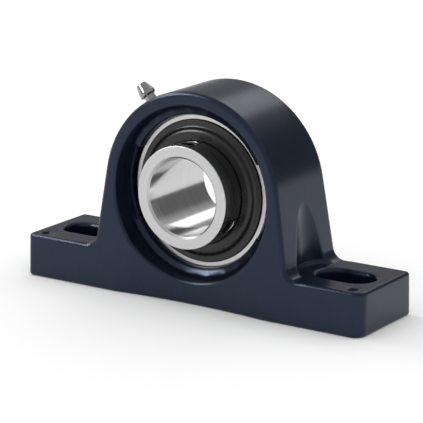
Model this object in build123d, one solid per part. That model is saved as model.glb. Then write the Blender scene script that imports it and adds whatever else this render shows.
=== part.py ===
from build123d import *
import math
import os

# Pillow block bearing for a 30 mm shaft. A cast housing stands on two slotted feet and holds a
# ball bearing insert in a spherical seat, so that the insert can swivel to suit the shaft.
# Millimetres. The shaft axis runs along Y, the base along X, and the feet stand on Z = 0.
# The collar end with the grub screws faces the front, which is -Y.

# Housing outline
BASE_LENGTH = 152.0
BASE_WIDTH = 38.0
FOOT_HEIGHT = 17.0
AXIS_HEIGHT = 42.9
ARCH_WALL = 6.4  # round the bore recess
FACE_DRAFT = 2.2  # degrees, both faces lean in towards the top
FLANK_ANGLE = 9.0  # degrees, both flanks spread towards the feet
FLANK_FILLET = 5.0
ARCH_EDGE_RADIUS = 1.6
FOOT_EDGE_RADIUS = 1.3
FOOT_CORNER_RADIUS = 1.9
BLUNT_CORNER_RADIUS = 4.5  # at the front of the right foot
FOOT_RUNOUT = 3.5  # length over which the heavy edge round fades into the foot's fine one
BASE_EDGE_RADIUS = 1.2  # round the underside

# Hollowed waist of both faces between the feet, and the relief under the base
WAIST_LENGTH = 71.6
WAIST_DEPTH = 2.4
WAIST_LEAN = 1.2  # degrees, the hollow gets shallower towards the top
RELIEF_LENGTH = 70.0
RELIEF_DEPTH = 0.4

# Bolt slots, washer pockets and dowel dimples in the feet
SLOT_SETBACK = 17.25  # from the base's end to the slot's middle
SLOT_LENGTH = 23.5
SLOT_WIDTH = 14.0
SLOT_EDGE_RADIUS = 1.6
POCKET_RADIUS = 14.3
POCKET_SETBACK = 22.0  # from the base's end to the pocket's middle
POCKET_EDGE_RADIUS = 1.5
POCKET_FLOOR_RADIUS = 2.0
POCKET_SINK = 0.1  # how far the cutter's rounded rim reaches below the pocket's floor
DIMPLE_SETBACK = 6.0  # from the base's end
DIMPLE_INSET = 4.5  # from the front face
DIMPLE_DIAMETER = 4.0
DIMPLE_DEPTH = 1.1

# Bore recess and spherical seat in the housing
RECESS_STEP = 2.7  # from the seat's mouth out to the recess's wall
RECESS_FLARE = 16.0  # degrees, the recess's wall opens towards the faces
RECESS_EDGE_SHARE = 0.164  # of the recess's depth, rounds the edge of its wall
SEAT_WIDTH = 20.0
SEAT_MOUTH_LENGTH = 1.7  # of the cone between the seat and the ledge
SEAT_MOUTH_STEP = 1.0  # the mouth is this much smaller in radius than the outer ring
LOADING_SLOT_HEIGHT = 28.4
LOADING_SLOT_CLEARANCE = 0.3
SEAT_CLEARANCE = 0.04
GREASE_GROOVE_CENTRE = 1.9
GREASE_GROOVE_WIDTH = 8.4
GREASE_GROOVE_DEPTH = 0.8

# Bearing insert
BORE_RADIUS = 15.0
INNER_RING_FRONT = 22.2
INNER_RING_REAR = 15.9
INNER_RING_WALL = 4.85
BORE_CHAMFER = 0.8
OUTER_RING_WALL = 3.2075  # outside the raceway's floor
OUTER_RING_WIDTH = 18.0
RING_EDGE_CHAMFER = 0.4
INNER_SHOULDER = 1.6425  # height over the raceway's floor
OUTER_SHOULDER = 1.4925
SEAL_BORE_STEP = 1.46
SEAL_BORE_DEPTH = 2.7
BALL_COUNT = 9
BALL_DIAMETER = 9.525
RACEWAY_CONFORMITY = 0.52  # raceway groove radius over the ball's diameter
RACEWAY_CLEARANCE = 0.03
GREASE_HOLE_OFFSET = 5.0
GREASE_HOLE_DIAMETER = 1.6

# Riveted ribbon cage, made of two pressed halves
CAGE_SHEET = 0.8
CAGE_BAND = 4.2
CAGE_BALL_CLEARANCE = 0.12
RIVET_SHANK_DIAMETER = 1.6
RIVET_CLEARANCE = 0.02
RIVET_HEAD_DIAMETER = 2.8
RIVET_HEAD_HEIGHT = 0.5

# Seals in the outer ring and flingers on the inner ring
SEAL_SETBACK = 0.4  # of the seal's plate from the outer ring's face
SEAL_FIT = 0.04
SEAL_PLATE_SHEET = 0.6
SEAL_PLATE_GAP = 1.75  # between the plate's hole and the inner ring
SEAL_LIP_CLEARANCE = 0.05
SEAL_LIP_EDGE = 0.5
FLINGER_SHEET = 0.6
FLINGER_RIM_WIDTH = 2.4
FLINGER_CONE_WIDTH = 1.5
FLINGER_FACE_WIDTH = 3.65
FLINGER_RISE = 1.7
FLINGER_BEND_RADIUS = 0.7
FLINGER_FIT = 0.02
FLINGER_HUB_LENGTH = 2.0
FLINGER_GAP = 0.2  # between the flinger's rim and the outer ring's face

# Grub screws in the collar
SCREW_DIAMETER = 6.0
SCREW_LENGTH = 4.2
SCREW_SETBACK = 6.0  # from the collar's face
SCREW_RECESS = 0.5  # below the collar's outside
SCREW_ANGLES = (90.0, -30.0)
SCREW_CLEARANCE = 0.03
SCREW_POINT_CHAMFER = 0.6
HEX_SOCKET = 3.0
HEX_SOCKET_DEPTH = 2.2

# Grease nipple
NIPPLE_ANGLE = 133.5
NIPPLE_SHANK_DIAMETER = 6.0
NIPPLE_SHANK_LENGTH = 5.0
NIPPLE_THREAD_RUNOUT = 0.8  # the threaded hole is this much deeper than the shank
NIPPLE_HEX = 8.0
NIPPLE_HEX_HEIGHT = 2.2
NIPPLE_NECK_DIAMETER = 4.4
NIPPLE_NECK_LENGTH = 2.8
NIPPLE_HEAD_DIAMETER = 6.5
NIPPLE_HEAD_HEIGHT = 5.3
NIPPLE_HEAD_RIM = 1.3
NIPPLE_HEAD_ROUND = 0.4
NIPPLE_TIP_DIAMETER = 4.2
NIPPLE_BORE_DIAMETER = 2.6
NIPPLE_MOUTH_DIAMETER = 1.6
NIPPLE_LIP = 0.5
NIPPLE_SHOULDER = 1.6  # from the shank's end to the floor that the spring stands on
NIPPLE_SPOT_DIAMETER = 11.0
NIPPLE_SPOT_DEPTH = 0.35
NIPPLE_CLEARANCE = 0.03
CHECK_BALL_DIAMETER = 2.4
SPRING_DIAMETER = 2.2
SPRING_WIRE = 0.32
SPRING_TURNS = 5
SPRING_END_GAP = 0.06
GREASE_DUCT_DIAMETER = 3.0

HALF_WIDTH = BASE_WIDTH / 2
BALL_RADIUS = BALL_DIAMETER / 2
RACEWAY_RADIUS = BALL_DIAMETER * RACEWAY_CONFORMITY
INNER_RING_RADIUS = BORE_RADIUS + INNER_RING_WALL
INNER_FLOOR_RADIUS = INNER_RING_RADIUS - INNER_SHOULDER
PITCH_RADIUS = INNER_FLOOR_RADIUS + RACEWAY_CLEARANCE + BALL_RADIUS
OUTER_FLOOR_RADIUS = PITCH_RADIUS + BALL_RADIUS + RACEWAY_CLEARANCE
OUTER_RING_RADIUS = OUTER_FLOOR_RADIUS + OUTER_RING_WALL
OUTER_SHOULDER_RADIUS = OUTER_FLOOR_RADIUS - OUTER_SHOULDER
SEAL_BORE_RADIUS = OUTER_SHOULDER_RADIUS + SEAL_BORE_STEP
SEAL_PLATE_INNER_RADIUS = INNER_RING_RADIUS + SEAL_PLATE_GAP
SEAT_MOUTH_RADIUS = OUTER_RING_RADIUS - SEAT_MOUTH_STEP
SEAT_LEDGE = SEAT_WIDTH / 2 + SEAT_MOUTH_LENGTH  # from the housing's middle
RECESS_RADIUS = SEAT_MOUTH_RADIUS + RECESS_STEP
RECESS_EDGE_RADIUS = RECESS_EDGE_SHARE * (HALF_WIDTH - SEAT_LEDGE)
ARCH_RADIUS = RECESS_RADIUS + ARCH_WALL
SLOT_PLACE = BASE_LENGTH / 2 - SLOT_SETBACK
POCKET_PLACE = BASE_LENGTH / 2 - POCKET_SETBACK
RIVET_HOLE_RADIUS = RIVET_SHANK_DIAMETER / 2 + RIVET_CLEARANCE
SCREW_PLACE = INNER_RING_FRONT - SCREW_SETBACK  # in front of the insert's middle
SEAL_FACE = OUTER_RING_WIDTH / 2 - SEAL_SETBACK
NIPPLE_TIP = NIPPLE_HEX_HEIGHT + NIPPLE_NECK_LENGTH + NIPPLE_HEAD_HEIGHT
NIPPLE_BORE_FLOOR = NIPPLE_SHOULDER - NIPPLE_SHANK_LENGTH
ARCH_TOP = AXIS_HEIGHT + ARCH_RADIUS
NIPPLE_SEAT = ARCH_RADIUS - NIPPLE_SPOT_DEPTH  # from the shaft axis
ON_BASE = (Align.CENTER, Align.CENTER, Align.MIN)
BEYOND = 10.0  # how far a cutting body reaches past what it cuts


def on_axis(shape):
    """Turn a body made about Z so that it lies along the shaft axis, its top to the front."""
    return Location((0, 0, AXIS_HEIGHT), (90, 0, 0)) * shape


def turned(points, arcs=()):
    """Revolve an outline of (radius, depth) points about Z; arcs bulge the named sides."""
    arcs = dict(arcs)
    sides = []
    for index, start in enumerate(points):
        end = points[(index + 1) % len(points)]
        if index in arcs:
            sides.append(ThreePointArc((start[0], 0, start[1]), arcs[index], (end[0], 0, end[1])))
        else:
            sides.append(Line((start[0], 0, start[1]), (end[0], 0, end[1])))
    face = make_face(sides)
    return revolve(face, Axis.Z, 360)


def radial(angle, distance, offset=0.0):
    """Place a body so that its Z points away from the shaft axis at this angle from +X."""
    spot = (
        distance * math.cos(math.radians(angle)),
        offset,
        AXIS_HEIGHT + distance * math.sin(math.radians(angle)),
    )
    return Location(spot) * Location((0, 0, 0), (0, 90 - angle, 0))


def rim_edges(ring, radius):
    """The circular edges of this radius on a turned ring."""
    return ring.edges().filter_by(GeomType.CIRCLE).filter_by(
        lambda edge: abs(edge.radius - radius) < 0.001
    )


# Housing


def between_faces(reach):
    """The wedge between the two leaning faces, as long as reach each way."""
    top = ARCH_TOP + BEYOND
    lean = math.tan(math.radians(FACE_DRAFT))
    outline = Polyline(
        (0, -HALF_WIDTH, 0),
        (0, HALF_WIDTH, 0),
        (0, HALF_WIDTH - top * lean, top),
        (0, -HALF_WIDTH + top * lean, top),
        close=True,
    )
    return extrude(make_face(outline), reach, both=True, dir=(1, 0, 0))


def arch_body():
    """Arch, flanks and the fillets down to the feet, with the heavy round on its edges."""
    angle = math.radians(FLANK_ANGLE)
    foot_end = SLOT_PLACE
    tangent = Vector(ARCH_RADIUS * math.cos(angle), 0, AXIS_HEIGHT + ARCH_RADIUS * math.sin(angle))
    corner = Vector(tangent.X + (tangent.Z - FOOT_HEIGHT) * math.tan(angle), 0, FOOT_HEIGHT)
    run = FLANK_FILLET * math.tan((math.pi / 2 - angle) / 2)
    fillet_top = corner + Vector(-math.sin(angle), 0, math.cos(angle)) * run
    fillet_end = corner + Vector(run, 0, 0)
    centre = fillet_end + Vector(0, 0, FLANK_FILLET)
    middle = centre + (corner - centre).normalized() * FLANK_FILLET
    half = [
        Line((foot_end, 0, 0), (foot_end, 0, FOOT_HEIGHT)),
        Line((foot_end, 0, FOOT_HEIGHT), fillet_end),
        ThreePointArc(fillet_end, middle, fillet_top),
        Line(fillet_top, tangent),
    ]
    other = [mirror(side, Plane.YZ) for side in half]
    arch = ThreePointArc(tangent, (0, 0, ARCH_TOP), (-tangent.X, 0, tangent.Z))
    base = Line((-foot_end, 0, 0), (foot_end, 0, 0))
    profile = make_face([*half, arch, *other, base])
    body = extrude(profile, BASE_WIDTH, both=True, dir=(0, 1, 0)) & between_faces(BASE_LENGTH)
    edges = ShapeList()
    for face in (body.faces().sort_by(Axis.Y)[0], body.faces().sort_by(Axis.Y)[-1]):
        edges += face.edges().filter_by(lambda edge: edge.center().Z > FOOT_HEIGHT - 1)
    return cut_pockets(fillet(edges, ARCH_EDGE_RADIUS))


def cut_pockets(body):
    """Cut room for a washer into each flank, down to the foot, with soft edges."""
    for side in (-1, 1):
        cutter = Cylinder(POCKET_RADIUS, ARCH_TOP, align=ON_BASE)
        cutter = fillet(rim_edges(cutter, POCKET_RADIUS).sort_by(Axis.Z)[0], POCKET_FLOOR_RADIUS)
        body -= Pos(side * POCKET_PLACE, 0, FOOT_HEIGHT - POCKET_SINK) * cutter
    above = FOOT_HEIGHT + FLANK_FILLET
    walls = body.faces().filter_by(GeomType.CYLINDER).filter_by(
        lambda face: face.radius is not None and abs(face.radius - POCKET_RADIUS) < 0.001
    )
    mouths = ShapeList()
    for wall in walls:
        mouths += wall.edges().filter_by(GeomType.LINE, reverse=True).filter_by(
            lambda edge: edge.center().Z > above
        )
    return fillet(mouths, POCKET_EDGE_RADIUS) if mouths else body


def foot_plates():
    """Both feet with their fine edges, which run out along the arch's heavy edge round."""
    plate = Pos(0, 0, FOOT_HEIGHT / 2) * Box(BASE_LENGTH, BASE_WIDTH, FOOT_HEIGHT)
    plate = plate & between_faces(BASE_LENGTH)
    corners = plate.edges().filter_by(lambda edge: abs(edge.center().Z - FOOT_HEIGHT / 2) < 1)
    corners = corners.sort_by(lambda edge: edge.center().X - edge.center().Y)
    blunt = corners[-1].center()
    plate = fillet(corners[:-1], FOOT_CORNER_RADIUS)
    corner = plate.edges().filter_by(lambda edge: (edge.center() - blunt).length < 0.01)
    plate = fillet(corner, BLUNT_CORNER_RADIUS)
    plate = fillet(plate.faces().sort_by(Axis.Z)[-1].edges(), FOOT_EDGE_RADIUS)
    start = POCKET_PLACE - FOOT_RUNOUT
    inner = HALF_WIDTH - ARCH_EDGE_RADIUS
    outline = Polyline(
        (start, -inner),
        (start + FOOT_RUNOUT, -HALF_WIDTH),
        (BASE_LENGTH, -HALF_WIDTH),
        (BASE_LENGTH, HALF_WIDTH),
        (start + FOOT_RUNOUT, HALF_WIDTH),
        (start, inner),
        close=True,
    )
    keep = extrude(make_face(outline), FOOT_HEIGHT * 2, both=True)
    plate = plate & (keep + mirror(keep, Plane.YZ))
    floor = Cylinder(POCKET_RADIUS + POCKET_EDGE_RADIUS, FOOT_HEIGHT, align=ON_BASE)
    return plate + Pos(POCKET_PLACE, 0, 0) * floor + Pos(-POCKET_PLACE, 0, 0) * floor


def waist_cutter():
    """Large upright cylinder that hollows the front face between the feet."""
    half = WAIST_LENGTH / 2
    radius = (half**2 + WAIST_DEPTH**2) / (2 * WAIST_DEPTH)
    drum = Cylinder(radius, 4 * ARCH_TOP)
    lean = Location((0, -HALF_WIDTH + WAIST_DEPTH, 0), (WAIST_LEAN, 0, 0))
    return lean * (Pos(0, -radius, 0) * drum)


def bore_cutter():
    """Everything that the housing leaves free for the insert: seat, mouths and recesses."""
    seat = OUTER_RING_RADIUS + SEAT_CLEARANCE
    edge = SEAT_WIDTH / 2
    rim = math.sqrt(seat**2 - edge**2)
    ledge = SEAT_LEDGE
    outside = HALF_WIDTH + BEYOND
    mouth = RECESS_RADIUS + (outside - ledge) * math.tan(math.radians(RECESS_FLARE))
    outline = [
        (0, -outside),
        (mouth, -outside),
        (RECESS_RADIUS, -ledge),
        (SEAT_MOUTH_RADIUS, -ledge),
        (rim, -edge),
        (rim, edge),
        (SEAT_MOUTH_RADIUS, ledge),
        (RECESS_RADIUS, ledge),
        (mouth, outside),
        (0, outside),
    ]
    cutter = turned(outline, {4: (seat, 0, 0)})
    groove = Cylinder(seat + GREASE_GROOVE_DEPTH, GREASE_GROOVE_WIDTH)
    cutter += Pos(0, 0, -GREASE_GROOVE_CENTRE) * groove
    slot_radius = OUTER_RING_RADIUS + LOADING_SLOT_CLEARANCE
    slot = Cylinder(slot_radius, outside, align=ON_BASE)
    slot = slot & Box(4 * slot_radius, LOADING_SLOT_HEIGHT, 4 * outside)
    return on_axis(cutter + slot)


def slot_cutter():
    """One bolt slot through a foot, flared at the top so that it leaves a rounded rim."""
    flared = SlotOverall(SLOT_LENGTH + 2 * SLOT_EDGE_RADIUS, SLOT_WIDTH + 2 * SLOT_EDGE_RADIUS)
    plate = extrude(flared, FOOT_HEIGHT)
    slot = extrude(SlotOverall(SLOT_LENGTH, SLOT_WIDTH), FOOT_HEIGHT)
    block = extrude(Rectangle(2 * SLOT_LENGTH, 3 * SLOT_WIDTH), FOOT_HEIGHT) - slot
    rim = block.edges().filter_by(
        lambda edge: abs(edge.center().Z - FOOT_HEIGHT) < 0.01
        and abs(edge.center().X) <= SLOT_LENGTH / 2
        and abs(edge.center().Y) <= SLOT_WIDTH / 2
    )
    cutter = plate - fillet(rim, SLOT_EDGE_RADIUS)
    below = Pos(0, 0, -BEYOND) * extrude(SlotOverall(SLOT_LENGTH, SLOT_WIDTH), BEYOND)
    above = Pos(0, 0, FOOT_HEIGHT) * extrude(flared, BEYOND)
    return cutter + below + above


def mouth_edges(body):
    """The outer edges of the front and rear bore recess."""
    walls = body.faces().filter_by(GeomType.CONE).filter_by(
        lambda face: abs(face.center().Y) > SEAT_LEDGE and face.bounding_box().size.Z > SEAT_MOUTH_RADIUS
    )
    edges = ShapeList()
    for wall in walls:
        edges += wall.edges().filter_by(
            lambda edge: edge.geom_type != GeomType.LINE and abs(edge.center().Y) > SEAT_LEDGE + 1
        )
    return edges


def housing():
    """The casting with every cut made in it."""
    body = arch_body() + foot_plates()
    underside = body.faces().sort_by(Axis.Z)[0]
    body = fillet(underside.edges(), BASE_EDGE_RADIUS)
    waist = waist_cutter()
    body -= waist
    body -= mirror(waist, Plane.XZ)
    body -= bore_cutter()
    body = fillet(mouth_edges(body), RECESS_EDGE_RADIUS)
    body -= Pos(0, 0, RELIEF_DEPTH / 2) * Box(RELIEF_LENGTH, 2 * BASE_WIDTH, RELIEF_DEPTH)
    for side in (-1, 1):
        body -= Pos(side * SLOT_PLACE, 0, 0) * slot_cutter()
        dimple = Cylinder(DIMPLE_DIAMETER / 2, 2 * DIMPLE_DEPTH)
        dimple_place = side * (BASE_LENGTH / 2 - DIMPLE_SETBACK)
        body -= Pos(dimple_place, DIMPLE_INSET - HALF_WIDTH, FOOT_HEIGHT) * dimple
    spot = Cylinder(NIPPLE_SPOT_DIAMETER / 2, BEYOND, align=ON_BASE)
    body -= radial(NIPPLE_ANGLE, NIPPLE_SEAT) * spot
    thread = Cylinder(NIPPLE_SHANK_DIAMETER / 2, 2 * (NIPPLE_SHANK_LENGTH + NIPPLE_THREAD_RUNOUT))
    body -= radial(NIPPLE_ANGLE, NIPPLE_SEAT) * thread
    duct = Cylinder(GREASE_DUCT_DIAMETER / 2, 2 * (NIPPLE_SEAT - OUTER_RING_RADIUS))
    return body - radial(NIPPLE_ANGLE, NIPPLE_SEAT) * duct


# Bearing insert


def outer_ring():
    """Ring with a spherical outside, a raceway, a seal bore at each side and two grease holes."""
    face = OUTER_RING_WIDTH / 2
    rim = math.sqrt(OUTER_RING_RADIUS**2 - face**2)
    shelf = face - SEAL_BORE_DEPTH
    centre = OUTER_FLOOR_RADIUS - RACEWAY_RADIUS
    edge = math.sqrt(RACEWAY_RADIUS**2 - (OUTER_SHOULDER_RADIUS - centre) ** 2)
    outline = [
        (SEAL_BORE_RADIUS, face),
        (rim, face),
        (rim, -face),
        (SEAL_BORE_RADIUS, -face),
        (SEAL_BORE_RADIUS, -shelf),
        (OUTER_SHOULDER_RADIUS, -shelf),
        (OUTER_SHOULDER_RADIUS, -edge),
        (OUTER_SHOULDER_RADIUS, edge),
        (OUTER_SHOULDER_RADIUS, shelf),
        (SEAL_BORE_RADIUS, shelf),
    ]
    ring = turned(outline, {1: (OUTER_RING_RADIUS, 0, 0), 6: (OUTER_FLOOR_RADIUS, 0, 0)})
    ring = on_axis(chamfer(rim_edges(ring, rim), RING_EDGE_CHAMFER))
    for angle in (NIPPLE_ANGLE, NIPPLE_ANGLE + 180):
        hole = Cylinder(GREASE_HOLE_DIAMETER / 2, 2 * BEYOND)
        ring -= radial(angle, OUTER_RING_RADIUS, GREASE_HOLE_OFFSET) * hole
    return ring


def inner_ring():
    """Wide ring whose front end is the collar, with two threaded holes for the grub screws."""
    centre = INNER_FLOOR_RADIUS + RACEWAY_RADIUS
    edge = math.sqrt(RACEWAY_RADIUS**2 - (centre - INNER_RING_RADIUS) ** 2)
    outline = [
        (BORE_RADIUS, INNER_RING_FRONT),
        (INNER_RING_RADIUS, INNER_RING_FRONT),
        (INNER_RING_RADIUS, edge),
        (INNER_RING_RADIUS, -edge),
        (INNER_RING_RADIUS, -INNER_RING_REAR),
        (BORE_RADIUS, -INNER_RING_REAR),
    ]
    ring = turned(outline, {2: (INNER_FLOOR_RADIUS, 0, 0)})
    ends = (INNER_RING_FRONT, -INNER_RING_REAR)
    mouths = rim_edges(ring, BORE_RADIUS)
    ring = chamfer(mouths, BORE_CHAMFER)
    outside = rim_edges(ring, INNER_RING_RADIUS).filter_by(
        lambda rim: min(abs(rim.center().Z - end) for end in ends) < RING_EDGE_CHAMFER
    )
    ring = on_axis(chamfer(outside, RING_EDGE_CHAMFER))
    for angle in SCREW_ANGLES:
        hole = Cylinder(SCREW_DIAMETER / 2, INNER_RING_RADIUS, align=ON_BASE)
        ring -= radial(angle, INNER_RING_RADIUS / 2, -SCREW_PLACE) * hole
    return ring


def ball(index):
    """One ball of the ring of balls, the first at the top."""
    return radial(90 - index * 360 / BALL_COUNT, PITCH_RADIUS) * Sphere(BALL_RADIUS)


def cage_half(side):
    """One pressed half of the cage: a flat ribbon with a cup over each ball."""
    inside = PITCH_RADIUS - CAGE_BAND / 2
    cup = BALL_RADIUS + CAGE_BALL_CLEARANCE
    deep = cup + CAGE_SHEET
    ribbon = Cylinder(inside + CAGE_BAND, deep, align=ON_BASE) - Cylinder(inside, 4 * deep)
    flat = ribbon & Cylinder(ARCH_RADIUS, 2 * CAGE_SHEET)
    cups = Part()
    hollows = Part()
    for index in range(BALL_COUNT):
        turn = Rot(0, 0, index * 360 / BALL_COUNT)
        gap = Rot(0, 0, (index + 0.5) * 360 / BALL_COUNT)
        across = Location((0, PITCH_RADIUS, 0), (90, 0, 0))
        cups += turn * across * Cylinder(deep, 2 * CAGE_BAND)
        hollows += turn * across * Cylinder(cup, 4 * CAGE_BAND)
        hollows += gap * Pos(0, PITCH_RADIUS, 0) * Cylinder(RIVET_HOLE_RADIUS, 4 * CAGE_SHEET)
    half = flat + (cups & ribbon) - hollows
    if side > 0:
        half = mirror(half, Plane.XY)
    return on_axis(half)


def cage_rivets():
    """The rivets between the balls that hold the two halves of the cage together."""
    rivets = []
    for index in range(BALL_COUNT):
        turn = Rot(0, 0, (index + 0.5) * 360 / BALL_COUNT)
        shank = Cylinder(RIVET_SHANK_DIAMETER / 2, 2 * CAGE_SHEET)
        head = Pos(0, 0, CAGE_SHEET) * Cylinder(RIVET_HEAD_DIAMETER / 2, RIVET_HEAD_HEIGHT, align=ON_BASE)
        rivet = shank + head + mirror(head, Plane.XY)
        rivets.append(on_axis(turn * Pos(0, PITCH_RADIUS, 0) * rivet))
    return Compound(children=rivets)


def seal_lip(side):
    """Rubber seal in the outer ring, with a lip that runs on the inner ring."""
    outside = SEAL_BORE_RADIUS - SEAL_FIT
    low = OUTER_RING_WIDTH / 2 - SEAL_BORE_DEPTH + SEAL_FIT
    high = SEAL_FACE - SEAL_PLATE_SHEET
    outline = [
        (outside, low),
        (outside, high),
        (SEAL_PLATE_INNER_RADIUS, high),
        (INNER_RING_RADIUS + SEAL_LIP_CLEARANCE, low + SEAL_LIP_EDGE),
        (INNER_RING_RADIUS + SEAL_LIP_CLEARANCE, low),
    ]
    return on_side(turned(outline), side)


def seal_plate(side):
    """Steel plate that stiffens the seal, bonded to the rubber's outer face."""
    outside = SEAL_BORE_RADIUS - SEAL_FIT
    plate = Cylinder(outside, SEAL_PLATE_SHEET) - Cylinder(SEAL_PLATE_INNER_RADIUS, BEYOND)
    return on_side(Pos(0, 0, SEAL_FACE - SEAL_PLATE_SHEET / 2) * plate, side)


def flinger(side):
    """Pressed disc on the inner ring: hub, raised face, cone and outer rim, all with round bends."""
    rim_front = OUTER_RING_WIDTH / 2 + FLINGER_GAP + FLINGER_SHEET
    face = rim_front + FLINGER_RISE
    hub = INNER_RING_RADIUS + FLINGER_FIT
    face_outside = hub + FLINGER_FACE_WIDTH
    cone = face_outside + FLINGER_CONE_WIDTH
    front = FilletPolyline(
        (cone + FLINGER_RIM_WIDTH, 0, rim_front),
        (cone, 0, rim_front),
        (face_outside, 0, face),
        (hub, 0, face),
        (hub, 0, face - FLINGER_HUB_LENGTH),
        radius=FLINGER_BEND_RADIUS,
    )
    sheet = offset(front, FLINGER_SHEET, kind=Kind.INTERSECTION, side=Side.LEFT)
    return on_side(revolve(make_face(sheet), Axis.Z, 360), side)


def on_side(shape, side):
    """Bring a body made for the front to the front (-1) or the rear (1) of the insert."""
    if side > 0:
        shape = mirror(shape, Plane.XY)
    return on_axis(shape)


def grub_screw(angle):
    """Socket set screw in the collar, backed off so that its point clears the shaft."""
    screw = Cylinder(SCREW_DIAMETER / 2 - SCREW_CLEARANCE, SCREW_LENGTH, align=ON_BASE)
    screw = chamfer(screw.edges().filter_by(GeomType.CIRCLE).sort_by(Axis.Z)[0], SCREW_POINT_CHAMFER)
    socket = extrude(RegularPolygon(HEX_SOCKET / 2, 6, major_radius=False), HEX_SOCKET_DEPTH)
    screw -= Pos(0, 0, SCREW_LENGTH - HEX_SOCKET_DEPTH) * socket
    seat = INNER_RING_RADIUS - SCREW_RECESS - SCREW_LENGTH
    return radial(angle, seat, -SCREW_PLACE) * screw


# Grease nipple, made upright with its hexagon standing on Z = 0


def nipple_body():
    """Shank, hexagon, neck and tapered head, bored for the check ball and its spring."""
    shank = NIPPLE_SHANK_DIAMETER / 2 - NIPPLE_CLEARANCE
    neck = NIPPLE_NECK_DIAMETER / 2
    head = NIPPLE_HEAD_DIAMETER / 2
    head_low = NIPPLE_HEX_HEIGHT + NIPPLE_NECK_LENGTH
    mouth = NIPPLE_MOUTH_DIAMETER / 2
    bore = NIPPLE_BORE_DIAMETER / 2
    outline = [
        (mouth, -NIPPLE_SHANK_LENGTH),
        (shank, -NIPPLE_SHANK_LENGTH),
        (shank, NIPPLE_HEX_HEIGHT / 2),
        (neck, NIPPLE_HEX_HEIGHT / 2),
        (neck, head_low),
        (head - NIPPLE_HEAD_ROUND, head_low),
        (head, head_low + NIPPLE_HEAD_ROUND),
        (head, head_low + NIPPLE_HEAD_RIM),
        (NIPPLE_TIP_DIAMETER / 2, NIPPLE_TIP),
        (mouth, NIPPLE_TIP),
        (mouth, NIPPLE_TIP - NIPPLE_LIP),
        (bore, NIPPLE_TIP - NIPPLE_LIP),
        (bore, NIPPLE_BORE_FLOOR),
        (mouth, NIPPLE_BORE_FLOOR),
    ]
    body = turned(outline)
    hexagon = extrude(RegularPolygon(NIPPLE_HEX / 2, 6, major_radius=False), NIPPLE_HEX_HEIGHT)
    corners = Cone(NIPPLE_HEX * 0.5 + NIPPLE_HEX_HEIGHT, NIPPLE_HEX * 0.5, NIPPLE_HEX_HEIGHT, align=ON_BASE)
    body += (hexagon & corners) - Cylinder(neck, 4 * NIPPLE_HEX_HEIGHT)
    return radial(NIPPLE_ANGLE, NIPPLE_SEAT) * body


def nipple_check_ball():
    """Ball that closes the nipple's mouth from inside."""
    below = math.sqrt(CHECK_BALL_DIAMETER**2 - NIPPLE_MOUTH_DIAMETER**2) / 2
    height = NIPPLE_TIP - NIPPLE_LIP - below - NIPPLE_CLEARANCE
    return radial(NIPPLE_ANGLE, NIPPLE_SEAT + height) * Sphere(CHECK_BALL_DIAMETER / 2)


def nipple_spring():
    """Coil spring that presses the check ball against the mouth."""
    below = math.sqrt(CHECK_BALL_DIAMETER**2 - NIPPLE_MOUTH_DIAMETER**2) / 2
    top = NIPPLE_TIP - NIPPLE_LIP - below - CHECK_BALL_DIAMETER / 2
    radius = (SPRING_DIAMETER - SPRING_WIRE) / 2
    height = top - NIPPLE_BORE_FLOOR - SPRING_WIRE - SPRING_END_GAP
    path = Helix(height / SPRING_TURNS, height, radius)
    wire = Plane(path @ 0, z_dir=path % 0) * RegularPolygon(SPRING_WIRE / 2, 6)
    coil = sweep(wire, path, is_frenet=True)
    start = NIPPLE_BORE_FLOOR + SPRING_WIRE / 2
    return radial(NIPPLE_ANGLE, NIPPLE_SEAT + start) * coil


def nodes():
    """Every separate piece by name."""
    pieces = {
        "housing": housing(),
        "outer_ring": outer_ring(),
        "inner_ring": inner_ring(),
        "cage_front_half": cage_half(-1),
        "cage_rear_half": cage_half(1),
        "cage_rivets": cage_rivets(),
        "nipple_body": nipple_body(),
        "nipple_check_ball": nipple_check_ball(),
        "nipple_spring": nipple_spring(),
    }
    for index in range(BALL_COUNT):
        pieces[f"ball_{index + 1}"] = ball(index)
    for index, angle in enumerate(SCREW_ANGLES):
        pieces[f"grub_screw_{index + 1}"] = grub_screw(angle)
    for name, side in (("front", -1), ("rear", 1)):
        pieces[f"{name}_seal_lip"] = seal_lip(side)
        pieces[f"{name}_seal_plate"] = seal_plate(side)
        pieces[f"{name}_flinger"] = flinger(side)
    return pieces


os.makedirs("parts", exist_ok=True)
for name, piece in nodes().items():
    export_step(piece, f"parts/{name}.step")
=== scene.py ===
"""Looks of a cast pillow block with its sealed ball bearing insert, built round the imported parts."""
import logging
import math
from dataclasses import dataclass, field
from enum import Enum
from typing import Callable, Sequence

import bmesh
import bpy
from mathutils import Matrix, Vector


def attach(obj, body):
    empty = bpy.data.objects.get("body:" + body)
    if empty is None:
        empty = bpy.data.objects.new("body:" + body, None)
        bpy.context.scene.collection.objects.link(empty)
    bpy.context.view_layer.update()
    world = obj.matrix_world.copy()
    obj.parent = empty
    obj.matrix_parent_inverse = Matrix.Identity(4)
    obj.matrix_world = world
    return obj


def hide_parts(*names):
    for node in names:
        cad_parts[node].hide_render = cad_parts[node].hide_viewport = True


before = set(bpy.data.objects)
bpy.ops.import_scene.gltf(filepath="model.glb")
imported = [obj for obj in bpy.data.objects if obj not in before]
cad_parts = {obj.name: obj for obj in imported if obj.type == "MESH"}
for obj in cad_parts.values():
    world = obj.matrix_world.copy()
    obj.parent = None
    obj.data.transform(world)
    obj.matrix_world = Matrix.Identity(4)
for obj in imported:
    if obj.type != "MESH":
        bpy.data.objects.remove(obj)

log = logging.getLogger("pillow_block")

MM = 0.001
AXIS_HEIGHT = 42.9 * MM
SHAFT_CENTRE = Vector((0.0, 0.0, AXIS_HEIGHT))
Outline = list[tuple[float, float]]

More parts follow.
